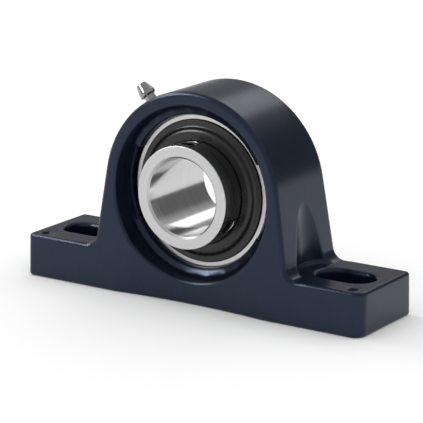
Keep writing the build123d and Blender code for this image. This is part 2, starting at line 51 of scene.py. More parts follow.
# Sizes in millimetres, and angles in degrees from +X towards +Z, that several pieces share
LATHE_GUIDE = 20.0
BALL_RADIUS = 4.7625
PITCH_RADIUS = 23.0
RACEWAY_RADIUS = 1.04 * BALL_RADIUS
RACEWAY_GAP = 0.03
SCREW_ANGLES = (90.0, -30.0)
SCREW_AHEAD = 16.2
NIPPLE_ANGLE = 133.5
TOP = 90.0

# The angle in radians that stands for a face without a direction
NO_ANGLE = math.pi

# The range of a noise's values that shows
TONE = (0.3, 0.7)


# Node trees


class Graph:
    """Short hand for filling one shader or geometry node tree."""

    def __init__(self, tree: bpy.types.NodeTree) -> None:
        """Take over a tree.

        Args:
            tree: The node tree to fill.
        """
        self.tree = tree

    def add(self, kind: str, inputs: dict[str | int, object] | None = None,
            **settings: object) -> bpy.types.Node:
        """Add a node.

        Args:
            kind: The node's type name.
            inputs: Values or sockets for its inputs, by name or index.
            **settings: Attributes of the node.

        Returns:
            The new node.
        """
        node = self.tree.nodes.new(kind)
        for name, value in settings.items():
            setattr(node, name, value)
        for name, value in (inputs or {}).items():
            self.feed(node.inputs[name], value)
        return node

    def feed(self, socket: bpy.types.NodeSocket, value: object) -> None:
        """Give an input a value, or a link if the value is another node's output.

        Args:
            socket: The input.
            value: A plain value or an output socket.
        """
        if isinstance(value, bpy.types.NodeSocket):
            self.tree.links.new(value, socket)
        else:
            socket.default_value = value

    def math(self, operation: str, *values: object, clamp: bool = False) -> bpy.types.NodeSocket:
        """Add a Math node.

        Args:
            operation: The operation's name.
            *values: Its operands, as values or sockets.
            clamp: Whether the result is kept between 0 and 1.

        Returns:
            The node's output.
        """
        node = self.add("ShaderNodeMath", dict(enumerate(values)), operation=operation, use_clamp=clamp)
        return node.outputs[0]

    def spread(self, value: object, low: float, high: float,
               to_low: float, to_high: float) -> bpy.types.NodeSocket:
        """Add a clamped Map Range node.

        Args:
            value: What is mapped.
            low: Start of the range that comes in.
            high: End of the range that comes in.
            to_low: Start of the range that goes out.
            to_high: End of the range that goes out.

        Returns:
            The node's output.
        """
        node = self.add("ShaderNodeMapRange", {0: value, 1: low, 2: high, 3: to_low, 4: to_high})
        return node.outputs[0]

    def mix(self, factor: object, first: object, second: object) -> bpy.types.NodeSocket:
        """Add a Mix node for colours.

        Args:
            factor: How much of the second colour shows.
            first: The first colour.
            second: The second colour.

        Returns:
            The mixed colour.
        """
        node = self.add("ShaderNodeMix", {0: factor, 6: first, 7: second}, data_type="RGBA")
        return node.outputs[2]

    def blend(self, factor: object, first: object, second: object) -> bpy.types.NodeSocket:
        """Add a Mix node for numbers.

        Args:
            factor: How much of the second number counts.
            first: The first number.
            second: The second number.

        Returns:
            The mixed number.
        """
        node = self.add("ShaderNodeMix", {0: factor, 2: first, 3: second}, data_type="FLOAT")
        return node.outputs[0]

    def separate(self, vector: object) -> tuple[bpy.types.NodeSocket, ...]:
        """Split a vector.

        Args:
            vector: The vector's socket.

        Returns:
            Its three parts.
        """
        return tuple(self.add("ShaderNodeSeparateXYZ", {0: vector}).outputs)


def rgba(red: float, green: float, blue: float) -> tuple[float, float, float, float]:
    """A colour with full opacity."""
    return (red, green, blue, 1.0)


def shade(colour: Sequence[float], share: float, lift: float = 0.0) -> tuple[float, float, float, float]:
    """A colour made darker or brighter.

    Args:
        colour: Its three parts.
        share: What each part is multiplied by.
        lift: What is added to each part.

    Returns:
        The colour, no part over 1.
    """
    return rgba(*(min(1.0, part * share + lift) for part in colour))


def towards(azimuth: float, elevation: float) -> Vector:
    """A direction seen from the object.

    Args:
        azimuth: Degrees from the front, positive towards +X.
        elevation: Degrees above the floor.

    Returns:
        The direction, one metre long.
    """
    around, up = math.radians(azimuth), math.radians(elevation)
    return Vector((math.sin(around) * math.cos(up), -math.cos(around) * math.cos(up), math.sin(up)))


# Effects that several finishes share


class Effect:
    """A shader node group that is built once and placed in each material with its own values."""

    title: str = ""
    inputs: dict[str, float] = {}
    outputs: tuple[str, ...] = ()

    @classmethod
    def group(cls) -> bpy.types.NodeTree:
        """The group, built on first use.

        Returns:
            The shader node group.
        """
        tree = bpy.data.node_groups.get(cls.title)
        if tree is None:
            tree = bpy.data.node_groups.new(cls.title, "ShaderNodeTree")
            for name, value in cls.inputs.items():
                made = tree.interface.new_socket(name, in_out="INPUT", socket_type="NodeSocketFloat")
                made.default_value = value
            for name in cls.outputs:
                tree.interface.new_socket(name, in_out="OUTPUT", socket_type="NodeSocketFloat")
            graph = Graph(tree)
            source = graph.add("NodeGroupInput")
            sink = graph.add("NodeGroupOutput")
            cls.fill(graph, source.outputs, sink.inputs)
        return tree

    @classmethod
    def fill(cls, graph: Graph, given: bpy.types.NodeOutputs, wanted: bpy.types.NodeInputs) -> None:
        """Build the group's inside.

        Args:
            graph: The group's tree.
            given: The group's inputs.
            wanted: The group's outputs.
        """
        raise NotImplementedError

    @classmethod
    def place(cls, graph: Graph, **values: float) -> bpy.types.NodeOutputs:
        """Put the group into a material.

        Args:
            graph: The material's tree.
            **values: Values for the group's inputs, with underscores for spaces.

        Returns:
            The group's outputs.
        """
        node = graph.add("ShaderNodeGroup", node_tree=cls.group())
        for name, value in values.items():
            graph.feed(node.inputs[name.replace("_", " ")], value)
        return node.outputs


class CastSkin(Effect):
    """The skin of a sand casting under paint: slow waves and fine grain."""

    title = "cast skin"
    inputs = {"Wave Size": 120.0, "Grain Size": 900.0, "Grain Share": 0.3}
    outputs = ("Height", "Tone")

    @classmethod
    def fill(cls, graph: Graph, given: bpy.types.NodeOutputs, wanted: bpy.types.NodeInputs) -> None:
        """Build the group's inside.

        Args:
            graph: The group's tree.
            given: The group's inputs.
            wanted: The group's outputs.
        """
        place = graph.add("ShaderNodeTexCoord").outputs["Object"]
        waves = graph.add("ShaderNodeTexNoise", {
            "Vector": place, "Scale": given["Wave Size"], "Detail": 2.0})
        grain = graph.add("ShaderNodeTexNoise", {
            "Vector": place, "Scale": given["Grain Size"], "Detail": 3.0})
        share = graph.math("MULTIPLY", grain.outputs[0], given["Grain Share"])
        height = graph.math("ADD", waves.outputs[0], share)
        graph.feed(wanted["Height"], height)
        graph.feed(wanted["Tone"], waves.outputs[0])


class EdgeRubAndHighlight(Effect):
    """Outside edges as a mask, from the difference between the true and a rounded normal: worn edges, and on
    the paint also a painted highlight along the edges.
    """

    title = "edge wear and highlight"
    inputs = {"Width": 0.0006, "Strength": 1.0, "Breakup Size": 400.0}
    outputs = ("Mask",)

    @classmethod
    def fill(cls, graph: Graph, given: bpy.types.NodeOutputs, wanted: bpy.types.NodeInputs) -> None:
        """Build the group's inside.

        Args:
            graph: The group's tree.
            given: The group's inputs.
            wanted: The group's outputs.
        """
        shape = graph.add("ShaderNodeNewGeometry")
        place = graph.add("ShaderNodeTexCoord").outputs["Object"]
        bevel = graph.add("ShaderNodeBevel", {"Radius": given["Width"]}, samples=4)
        normals = {0: shape.outputs["Normal"], 1: bevel.outputs[0]}
        dot = graph.add("ShaderNodeVectorMath", normals, operation="DOT_PRODUCT")
        bend = graph.math("SUBTRACT", 1.0, dot.outputs["Value"])
        noise = graph.add("ShaderNodeTexNoise", {
            "Vector": place, "Scale": given["Breakup Size"], "Detail": 3.0})
        broken = graph.math("MULTIPLY", bend, graph.spread(noise.outputs[0], 0.35, 0.65, 0.4, 1.4))
        graph.feed(wanted["Mask"], graph.math("MULTIPLY", broken, given["Strength"], clamp=True))


class TurnedRings(Effect):
    """Fine marks of a lathe tool round the shaft axis, on faces and on cylinders."""

    title = "turned rings"
    inputs = {"On Cylinder": 0.0, "Pitch Scale": 9000.0, "Coarse Scale": 700.0, "Thread Pitch": 0.001}
    outputs = ("Height", "Tone", "Thread")

    @classmethod
    def fill(cls, graph: Graph, given: bpy.types.NodeOutputs, wanted: bpy.types.NodeInputs) -> None:
        """Build the group's inside.

        Args:
            graph: The group's tree.
            given: The group's inputs.
            wanted: The group's outputs.
        """
        place = graph.add("ShaderNodeTexCoord").outputs["Object"]
        x, y, z = graph.separate(place)
        height = graph.math("SUBTRACT", z, AXIS_HEIGHT)
        squares = graph.math("ADD", graph.math("MULTIPLY", x, x), graph.math("MULTIPLY", height, height))
        radius = graph.math("SQRT", squares)
        along = graph.blend(given["On Cylinder"], radius, y)
        for name, size in (("Height", "Pitch Scale"), ("Tone", "Coarse Scale")):
            marks = {"W": along, "Scale": given[size], "Detail": 2.0}
            noise = graph.add("ShaderNodeTexNoise", marks, noise_dimensions="1D")
            graph.feed(wanted[name], noise.outputs[0])
        turns = graph.math("DIVIDE", radius, given["Thread Pitch"])
        graph.feed(wanted["Thread"], graph.math("PINGPONG", turns, 0.5))


class Specks(Effect):
    """Thinly strewn dust and dried grease."""

    title = "specks"
    inputs = {"Size": 1500.0, "Cover": 0.3}
    outputs = ("Mask",)

    @classmethod
    def fill(cls, graph: Graph, given: bpy.types.NodeOutputs, wanted: bpy.types.NodeInputs) -> None:
        """Build the group's inside.

        Args:
            graph: The group's tree.
            given: The group's inputs.
            wanted: The group's outputs.
        """
        place = graph.add("ShaderNodeTexCoord").outputs["Object"]
        noise = graph.add("ShaderNodeTexNoise", {
            "Vector": place, "Scale": given["Size"], "Detail": 4.0, "Roughness": 0.7})
        edge = graph.math("SUBTRACT", 1.0, given["Cover"])
        above = graph.math("SUBTRACT", noise.outputs[0], edge)
        graph.feed(wanted["Mask"], graph.math("MULTIPLY", above, 4.0, clamp=True))


# Finishes


@dataclass(frozen=True)
class Finish:
    """A surface finish that becomes one material."""

    title: str
    slot: str
    colour: tuple[float, float, float] = (0.5, 0.5, 0.5)
    roughness: float = 0.4

    def material(self) -> bpy.types.Material:
        """The finish's material, built on first use.

        Returns:
            The material.
        """
        made = bpy.data.materials.get(self.title)
        if made is None:
            made = bpy.data.materials.new(self.title)
            made.use_nodes = True
            made.node_tree.nodes.clear()
            graph = Graph(made.node_tree)
            shader = graph.add("ShaderNodeBsdfPrincipled")
            sink = graph.add("ShaderNodeOutputMaterial", {0: shader.outputs[0]})
            sink.is_active_output = True
            self.fill(graph, shader.inputs)
        return made

    def fill(self, graph: Graph, skin: bpy.types.NodeInputs) -> None:
        """Feed the shader.

        Args:
            graph: The material's tree.
            skin: The shader's inputs.
        """
        raise NotImplementedError

    def relief(self, graph: Graph, height: bpy.types.NodeSocket, depth: float) -> bpy.types.NodeSocket:
        """A bump.

        Args:
            graph: The material's tree.
            height: The pattern of the relief, from 0 to 1.
            depth: Its depth in metres.

        Returns:
            The normal.
        """
        bump = graph.add("ShaderNodeBump", {"Height": height, "Distance": depth, "Strength": 1.0})
        return bump.outputs[0]


@dataclass(frozen=True)
class CastPaint(Finish):
    """Glossy dark enamel over a sand casting."""

    lit: tuple[float, float, float] = (0.02, 0.028, 0.045)
    sheen: tuple[float, float, float] = (0.62, 0.73, 1.0)
    wave_depth: float = 0.00002
    edge_softness: float = 0.0012
    # How much lighter than the lit tone the painted highlight along the paint's edges is; it also stands for
    # worn paint
    rub_and_highlight_share: float = 1.6
    unevenness: float = 0.12
    dust_haze: float = 0.08

    def fill(self, graph: Graph, skin: bpy.types.NodeInputs) -> None:
        """Feed the shader.

        Args:
            graph: The material's tree.
            skin: The shader's inputs.
        """
        cast = CastSkin.place(graph)
        # The edge mask turns the paint a lighter navy: a painted highlight along the edges, which also stands
        # for worn paint
        rub_and_highlight = EdgeRubAndHighlight.place(graph, Width=0.0007, Strength=0.4)
        dust = Specks.place(graph, Size=2600.0, Cover=0.26)
        tone = graph.spread(cast["Tone"], *TONE, 0.0, 1.0)
        paint = graph.mix(tone, rgba(*self.colour), rgba(*self.lit))
        graph.feed(skin["Base Color"], graph.mix(rub_and_highlight["Mask"], paint, shade(self.lit, self.rub_and_highlight_share)))
        low, high = self.roughness * (1 - self.unevenness), self.roughness * (1 + self.unevenness)
        rough = graph.spread(cast["Tone"], *TONE, low, high)
        dusty = graph.math("MULTIPLY", dust["Mask"], self.dust_haze)
        graph.feed(skin["Roughness"], graph.math("ADD", rough, dusty))
        flow = graph.add("ShaderNodeBevel", {"Radius": self.edge_softness}, samples=6)
        skinned = graph.add("ShaderNodeBump", {
            "Height": cast["Height"], "Distance": self.wave_depth, "Normal": flow.outputs[0]})
        graph.feed(skin["Normal"], skinned.outputs[0])
        skin["Specular Tint"].default_value = rgba(*self.sheen)


class Cut(Enum):
    """How a machined surface was made."""

    FACED = "by radius"
    BORED = "along the shaft"
    TAPPED = "a thread that runs towards the shaft"


@dataclass(frozen=True)
class TurnedSteel(Finish):
    """Bearing steel as it comes off the lathe or the grinder."""

    cut: Cut = Cut.FACED
    spread: float = 0.05
    groove_depth: float = 0.000002
    shadowed: float = 0.93
    oil_haze: float = 0.04
    worn_bright: float = 0.85

    def fill(self, graph: Graph, skin: bpy.types.NodeInputs) -> None:
        """Feed the shader.

        Args:
            graph: The material's tree.
            skin: The shader's inputs.
        """
        rings = TurnedRings.place(graph, On_Cylinder=1.0 if self.cut is Cut.BORED else 0.0)
        oil = Specks.place(graph, Size=900.0, Cover=0.4)
        rub_and_highlight = EdgeRubAndHighlight.place(graph, Width=0.0003, Strength=1.0)
        tone = graph.spread(rings["Tone"], 0.35, 0.65, 0.0, 1.0)
        steel = graph.mix(tone, shade(self.colour, self.shadowed), rgba(*self.colour))
        graph.feed(skin["Base Color"], graph.mix(rub_and_highlight["Mask"], steel, rgba(*(self.worn_bright,) * 3)))
        low, high = self.roughness - self.spread, self.roughness + self.spread
        rough = graph.spread(rings["Tone"], *TONE, low, high)
        oily = graph.math("MULTIPLY", oil["Mask"], self.oil_haze)
        graph.feed(skin["Roughness"], graph.math("ADD", rough, oily))
        height = rings["Thread"] if self.cut is Cut.TAPPED else rings["Height"]
        graph.feed(skin["Normal"], self.relief(graph, height, self.groove_depth))
        skin["Metallic"].default_value = 1.0


@dataclass(frozen=True)
class PlainMetal(Finish):
    """Bright, plated or blackened metal with a fine grain."""

    grain_depth: float = 0.000004
    metallic: float = 1.0
    grain_size: float = 1400.0
    rub_and_highlight_share: float = 1.5
    rub_lift: float = 0.05
    shadowed: float = 0.85
    unevenness: float = 0.15

    def fill(self, graph: Graph, skin: bpy.types.NodeInputs) -> None:
        """Feed the shader.

        Args:
            graph: The material's tree.
            skin: The shader's inputs.
        """
        cast = CastSkin.place(
            graph, Wave_Size=self.grain_size / 3, Grain_Size=self.grain_size, Grain_Share=0.5)
        rub_and_highlight = EdgeRubAndHighlight.place(graph, Width=0.0002, Strength=1.0)
        tone = graph.spread(cast["Tone"], *TONE, 0.0, 1.0)
        metal = graph.mix(tone, shade(self.colour, self.shadowed), rgba(*self.colour))
        bright = shade(self.colour, self.rub_and_highlight_share, self.rub_lift)
        graph.feed(skin["Base Color"], graph.mix(rub_and_highlight["Mask"], metal, bright))
        low, high = self.roughness * (1 - self.unevenness), self.roughness * (1 + self.unevenness)
        graph.feed(skin["Roughness"], graph.spread(cast["Tone"], *TONE, low, high))
        graph.feed(skin["Normal"], self.relief(graph, cast["Height"], self.grain_depth))
        skin["Metallic"].default_value = self.metallic


@dataclass(frozen=True)
class MouldedRubber(Finish):
    """Matt nitrile rubber with a bloom of dust."""

    bloom: tuple[float, float, float] = (0.06, 0.058, 0.055)
    spread: float = 0.08
    grain_depth: float = 0.00001

    def fill(self, graph: Graph, skin: bpy.types.NodeInputs) -> None:
        """Feed the shader.

        Args:
            graph: The material's tree.
            skin: The shader's inputs.
        """
        cast = CastSkin.place(graph, Wave_Size=300.0, Grain_Size=2500.0, Grain_Share=0.6)
        dust = Specks.place(graph, Size=1800.0, Cover=0.35)
        graph.feed(skin["Base Color"], graph.mix(dust["Mask"], rgba(*self.colour), rgba(*self.bloom)))
        low, high = self.roughness - self.spread, self.roughness + self.spread
        graph.feed(skin["Roughness"], graph.spread(cast["Tone"], *TONE, low, high))
        graph.feed(skin["Normal"], self.relief(graph, cast["Height"], self.grain_depth))


PAINT = CastPaint(
    "navy enamel", "housing_paint", (0.0048, 0.0085, 0.0225), 0.24, (0.0064, 0.0110, 0.0265))
RING_FACE = TurnedSteel("turned ring steel", "ring_steel", (0.60, 0.60, 0.60), 0.34)
RING_BORE = TurnedSteel(
    "ground bore steel", "ring_steel", (0.62, 0.62, 0.62), 0.15, Cut.BORED, 0.02, 0.0000001)
OUTER_STEEL = TurnedSteel("outer ring steel", "ring_steel", (0.66, 0.66, 0.66), 0.38)
COLLAR = TurnedSteel(
    "dark collar steel", "ring_steel", (0.36, 0.36, 0.36), 0.30, Cut.BORED, 0.05, 0.0000005)
BALL_STEEL = PlainMetal("polished ball steel", "ball_steel", (0.72, 0.72, 0.73), 0.08, 0.000001)
CAGE_STEEL = PlainMetal("pressed cage steel", "cage_steel", (0.55, 0.54, 0.52), 0.35)
SEAL_RUBBER = MouldedRubber("seal rubber", "seal_rubber", (0.02, 0.02, 0.02), 0.6)
SEAL_PLATE = PlainMetal("dark seal plate", "seal_plate", (0.10, 0.10, 0.10), 0.45)
FLINGER_COAT = PlainMetal(
    "black flinger coat", "flinger_black", (0.013, 0.013, 0.0128), 0.30, 0.000002, 0.0, 1800.0)
SCREW_OXIDE = PlainMetal("black oxide", "screw_black", (0.03, 0.03, 0.031), 0.38)
NIPPLE_ZINC = PlainMetal("bright zinc", "nipple_zinc", (0.34, 0.34, 0.34), 0.16, 0.000002)
# The steel inside the tapped holes is made near black: painted shade in the holes
TAPPED_HOLE_SHADE = TurnedSteel(
    "tapped hole steel in painted shade", "ring_steel", (0.04, 0.04, 0.04), 0.60, Cut.TAPPED, 0.05, 0.0003)
SPRING_WIRE = PlainMetal("spring wire", "spring_steel", (0.45, 0.45, 0.45), 0.3)


# Shapes that Geometry Nodes make


class Maker:
    """A Geometry Nodes tree with named inputs that makes one kind of shape."""

    title: str = ""
    inputs: dict[str, tuple[str, float]] = {}

    @classmethod
    def group(cls) -> bpy.types.NodeTree:
        """The tree, built on first use.

        Returns:
            The geometry node group.
        """
        tree = bpy.data.node_groups.get(cls.title)
        if tree is None:
            tree = bpy.data.node_groups.new(cls.title, "GeometryNodeTree")
            tree.interface.new_socket("Outline", in_out="INPUT", socket_type="NodeSocketGeometry")
            tree.interface.new_socket("Finish", in_out="INPUT", socket_type="NodeSocketMaterial")
            for name, (kind, value) in cls.inputs.items():
                made = tree.interface.new_socket(name, in_out="INPUT", socket_type=kind)
                made.default_value = value
            tree.interface.new_socket("Shape", in_out="OUTPUT", socket_type="NodeSocketGeometry")
            graph = Graph(tree)
            given = graph.add("NodeGroupInput").outputs
            real = graph.add("GeometryNodeRealizeInstances", {0: cls.fill(graph, given)})
            coated = graph.add("GeometryNodeSetMaterial", {
                "Geometry": real.outputs[0], "Material": given["Finish"]})
            graph.add("NodeGroupOutput", {0: coated.outputs[0]})
        return tree

    @classmethod
    def fill(cls, graph: Graph, given: bpy.types.NodeOutputs) -> bpy.types.NodeSocket:
        """Build the tree's inside.

        Args:
            graph: The tree.
            given: Its inputs.

        Returns:
            The shape.
        """
        raise NotImplementedError

    @classmethod
    def make(cls, finish: Finish, outline: Outline | None = None, **values: float) -> bpy.types.Mesh:
        """Run the tree once.

        Args:
            finish: The finish of what it makes.
            outline: A closed outline in millimetres, for a tree that takes one.
            **values: Values for the tree's inputs, with underscores for spaces.

        Returns:
            A plain mesh about Z.
        """
        sketch = bpy.data.meshes.new("outline")
        if outline:
            count = len(outline)
            sides = [(index, (index + 1) % count) for index in range(count)]
            sketch.from_pydata([(x * MM, y * MM, 0.0) for x, y in outline], sides, [])
        work = bpy.data.objects.new("outline", sketch)
        bpy.context.scene.collection.objects.link(work)
        modifier = work.modifiers.new("shape", "NODES")
        modifier.node_group = cls.group()
        items = cls.group().interface.items_tree
        sockets = {item.name: item.identifier for item in items if item.in_out == "INPUT"}
        modifier[sockets["Finish"]] = finish.material()
        for name, value in values.items():
            modifier[sockets[name.replace("_", " ")]] = value
        shape = bpy.data.meshes.new_from_object(work.evaluated_get(bpy.context.evaluated_depsgraph_get()))
        bpy.data.objects.remove(work)
        bpy.data.meshes.remove(sketch)
        return shape


class Turning(Maker):
    """A lathe: an outline of (radius beyond the guide, minus height) swept round Z."""

    title = "turning"
    inputs = {"Segments": ("NodeSocketInt", 128), "Guide Radius": ("NodeSocketFloat", 0.02)}

    @classmethod
    def fill(cls, graph: Graph, given: bpy.types.NodeOutputs) -> bpy.types.NodeSocket:
        """Build the tree's inside.

        Args:
            graph: The tree.
            given: Its inputs.

        Returns:
            The shape.
        """
        outline = graph.add("GeometryNodeMeshToCurve", {0: given["Outline"]})
        guide = graph.add("GeometryNodeCurvePrimitiveCircle", {
            "Resolution": given["Segments"], "Radius": given["Guide Radius"]})
        swept = graph.add("GeometryNodeCurveToMesh", {
            "Curve": guide.outputs[0], "Profile Curve": outline.outputs[0]})
        return swept.outputs[0]


class Coil(Maker):
    """A helix of wire; with three sides it is the ridge of a screw's thread."""

    title = "coil"
    inputs = {"Turns": ("NodeSocketFloat", 4.0), "Radius": ("NodeSocketFloat", 0.002),
              "Height": ("NodeSocketFloat", 0.004), "Wire": ("NodeSocketFloat", 0.0003),
              "Sides": ("NodeSocketInt", 3), "Steps": ("NodeSocketInt", 40)}

    @classmethod
    def fill(cls, graph: Graph, given: bpy.types.NodeOutputs) -> bpy.types.NodeSocket:
        """Build the tree's inside.

        Args:
            graph: The tree.
            given: Its inputs.

        Returns:
            The shape.
        """
        helix = graph.add("GeometryNodeCurveSpiral", {
            "Resolution": given["Steps"], "Rotations": given["Turns"], "Start Radius": given["Radius"],
            "End Radius": given["Radius"], "Height": given["Height"]})
        wire = graph.add("GeometryNodeCurvePrimitiveCircle", {
            "Resolution": given["Sides"], "Radius": given["Wire"]})
        swept = graph.add("GeometryNodeCurveToMesh", {
            "Curve": helix.outputs[0], "Profile Curve": wire.outputs[0], "Fill Caps": True})
        return swept.outputs[0]


class RivetRow(Maker):
    """A ring of rivets that stand along Z, each a shank with a chamfered head at both ends."""

    title = "rivet row"
    inputs = {"Count": ("NodeSocketInt", 9), "Circle Radius": ("NodeSocketFloat", 0.023),
              "Sides": ("NodeSocketInt", 20), "Shank": ("NodeSocketFloat", 0.0008),
              "Head": ("NodeSocketFloat", 0.0014), "Head Height": ("NodeSocketFloat", 0.0005),
              "Crown Share": ("NodeSocketFloat", 0.55), "Half Grip": ("NodeSocketFloat", 0.0008),
              "Turn": ("NodeSocketFloat", 0.0)}

    @classmethod
    def fill(cls, graph: Graph, given: bpy.types.NodeOutputs) -> bpy.types.NodeSocket:
        """Build the tree's inside.

        Args:
            graph: The tree.
            given: Its inputs.

        Returns:
            The shape.
        """
        places = graph.add("GeometryNodeMeshCircle", {
            "Vertices": given["Count"], "Radius": given["Circle Radius"]})
        long = graph.math("MULTIPLY", given["Half Grip"], 2.0)
        shank = graph.add("GeometryNodeMeshCylinder", {
            "Vertices": given["Sides"], "Radius": given["Shank"], "Depth": long})
        crown = graph.math("MULTIPLY", given["Head"], given["Crown Share"])
        join = graph.add("GeometryNodeJoinGeometry", {0: shank.outputs[0]})
        for side in (1.0, -1.0):
            head = graph.add("GeometryNodeMeshCone", {
                "Vertices": given["Sides"], "Radius Top": crown, "Radius Bottom": given["Head"],
                "Depth": given["Head Height"]})
            height = graph.math("MULTIPLY", given["Half Grip"], side)
            at = graph.add("ShaderNodeCombineXYZ", {2: height})
            tip = (0.0, 0.0, 0.0) if side > 0 else (math.pi, 0.0, 0.0)
            placed = graph.add("GeometryNodeTransform", {
                "Geometry": head.outputs[0], "Translation": at.outputs[0], "Rotation": tip})
            graph.feed(join.inputs[0], placed.outputs[0])
        row = graph.add("GeometryNodeInstanceOnPoints", {
            "Points": places.outputs[0], "Instance": join.outputs[0]})
        spin = graph.add("ShaderNodeCombineXYZ", {2: given["Turn"]})
        placed = graph.add("GeometryNodeTransform", {"Geometry": row.outputs[0], "Rotation": spin.outputs[0]})
        return placed.outputs[0]


class RoundBall(Maker):
    """A ball with closed poles."""

    title = "round ball"
    inputs = {"Radius": ("NodeSocketFloat", 0.005), "Rings": ("NodeSocketInt", 24)}

    @classmethod
    def fill(cls, graph: Graph, given: bpy.types.NodeOutputs) -> bpy.types.NodeSocket:
        """Build the tree's inside.

        Args:
            graph: The tree.
            given: Its inputs.

        Returns:
            The shape.
        """
        around = graph.math("MULTIPLY", given["Rings"], 2.0)
        ball = graph.add("GeometryNodeMeshUVSphere", {
            "Segments": around, "Rings": given["Rings"], "Radius": given["Radius"]})
        return ball.outputs[0]


# Outlines and placing


def rounded(points: Outline, radii: dict[int, float], steps: int = 5) -> Outline:
    """Round chosen corners of a closed outline.

    Args:
        points: The corners in millimetres.
        radii: The radius for each corner that is rounded, by its number.
        steps: How many short sides a round gets.

    Returns:
        The outline with its rounds.
    """
    result: Outline = []
    for index, corner in enumerate(points):
        if index not in radii:
            result.append(corner)
            continue
        here = Vector(corner)
        back = (Vector(points[index - 1]) - here).normalized()
        ahead = (Vector(points[(index + 1) % len(points)]) - here).normalized()
        half = back.angle(ahead) / 2
        centre = here + (back + ahead).normalized() * (radii[index] / math.sin(half))
        start = here + back * (radii[index] / math.tan(half)) - centre
        sweep = math.pi - 2 * half
        turn = sweep if back.x * ahead.y - back.y * ahead.x < 0 else -sweep
        for step in range(steps + 1):
            angle = turn * step / steps
            result.append((centre.x + start.x * math.cos(angle) - start.y * math.sin(angle),
                           centre.y + start.x * math.sin(angle) + start.y * math.cos(angle)))
    return result


def spaced(first: float, last: float, count: int) -> list[float]:
    """Evenly spaced values from first to last, both included."""
    return [first + (last - first) * index / (count - 1) for index in range(count)]


def raceway(shoulder: float, sign: float, count: int = 13) -> Outline:
    """The groove that the balls run in.

    Args:
        shoulder: Radius of the shoulders beside it, in millimetres.
        sign: 1 for the outer ring and -1 for the inner ring.
        count: How many points it gets.

    Returns:
        Its points, in the direction in which the ring's outline runs.
    """
    centre = PITCH_RADIUS + sign * (BALL_RADIUS + RACEWAY_GAP - RACEWAY_RADIUS)
    half = math.sqrt(RACEWAY_RADIUS**2 - (shoulder - centre) ** 2)
    return [(centre + sign * math.sqrt(RACEWAY_RADIUS**2 - y**2), y)
            for y in spaced(-sign * half, sign * half, count)]


def hexagon_corner(across_flats: float) -> float:
    """How far a hexagon's corners are from its middle."""
    return across_flats / 2 / math.cos(math.radians(30.0))


def turned(outline: Outline, finish: Finish, segments: int = 144) -> bpy.types.Mesh:
    """Turn an outline of (radius, height) about Z.

    Args:
        outline: The closed outline in millimetres.
        finish: The finish.
        segments: How many sides the turned piece has.

    Returns:
        The mesh.
    """
    swept = [(radius - LATHE_GUIDE, -height) for radius, height in outline]
    return Turning.make(finish, swept, Segments=segments, Guide_Radius=LATHE_GUIDE * MM)


class Side(Enum):
    """The two ends of the insert."""

    FRONT = 1.0
    REAR = -1.0

    def called(self, rest: str) -> str:
        """A name with the side in front."""
        return f"{self.name.lower()}_{rest}"

    def place(self) -> Matrix:
        """Places what was made about Z on the shaft axis, its top to this side."""
        quarter = Matrix.Rotation(math.radians(90.0), 4, "X")
        return Matrix.Translation(SHAFT_CENTRE) @ quarter @ Matrix.Diagonal((1.0, 1.0, self.value, 1.0))


def outward(angle: float, distance: float, ahead: float = 0.0) -> Matrix:
    """Places what was made about Z so that it points away from the shaft axis.

    Args:
        angle: The direction in degrees from +X towards +Z.
        distance: Where its base is, in millimetres from the shaft axis.
        ahead: How far in front of the insert's middle it is, in millimetres.

    Returns:
        The matrix.
    """
    around = math.radians(angle)
    spot = Vector((distance * math.cos(around), -ahead, distance * math.sin(around))) * MM
    return Matrix.Translation(SHAFT_CENTRE + spot) @ Matrix.Rotation(math.radians(90.0 - angle), 4, "Y")


def join_up(work: bmesh.types.BMesh) -> None:
    """Merge what lies together and drop faces without area.

    Args:
        work: The mesh that is worked on.
    """
    bmesh.ops.remove_doubles(work, verts=work.verts, dist=1e-6)
    bmesh.ops.dissolve_degenerate(work, edges=work.edges, dist=1e-7)


def as_piece(work: bmesh.types.BMesh, name: str, crease: float) -> bpy.types.Object:
    """Turn a working mesh into a piece at the origin, curved faces smooth and corners crisp.

    Args:
        work: The mesh, which is used up.
        name: The piece's name.
        crease: The angle in degrees from which an edge stays sharp.

    Returns:
        The piece.
    """
    mesh = bpy.data.meshes.new(name)
    work.to_mesh(mesh)
    work.free()
    mesh.shade_smooth()
    mesh.set_sharp_from_angle(angle=math.radians(crease))
    piece = bpy.data.objects.new(name, mesh)
    bpy.context.scene.collection.objects.link(piece)
    weight = piece.modifiers.new("face weight", "WEIGHTED_NORMAL")
    weight.keep_sharp = True
    weight.mode = "FACE_AREA"
    weight.weight = 50
    return piece


def smoothed(name: str, meshes: Sequence[bpy.types.Mesh], place: Matrix | None = None,
             crease: float = 32.0) -> bpy.types.Object:
    """Join meshes into one piece at the origin.

    Args:
        name: The piece's name.
        meshes: The meshes, which are used up.
        place: Where the piece goes.
        crease: The angle in degrees from which an edge stays sharp.

    Returns:
        The piece.
    """
    work = bmesh.new()
    for mesh in meshes:
        work.from_mesh(mesh)
        bpy.data.meshes.remove(mesh)
    join_up(work)
    if place is not None:
        work.transform(place)
        work.normal_update()
    bmesh.ops.recalc_face_normals(work, faces=work.faces)
    return as_piece(work, name, crease)


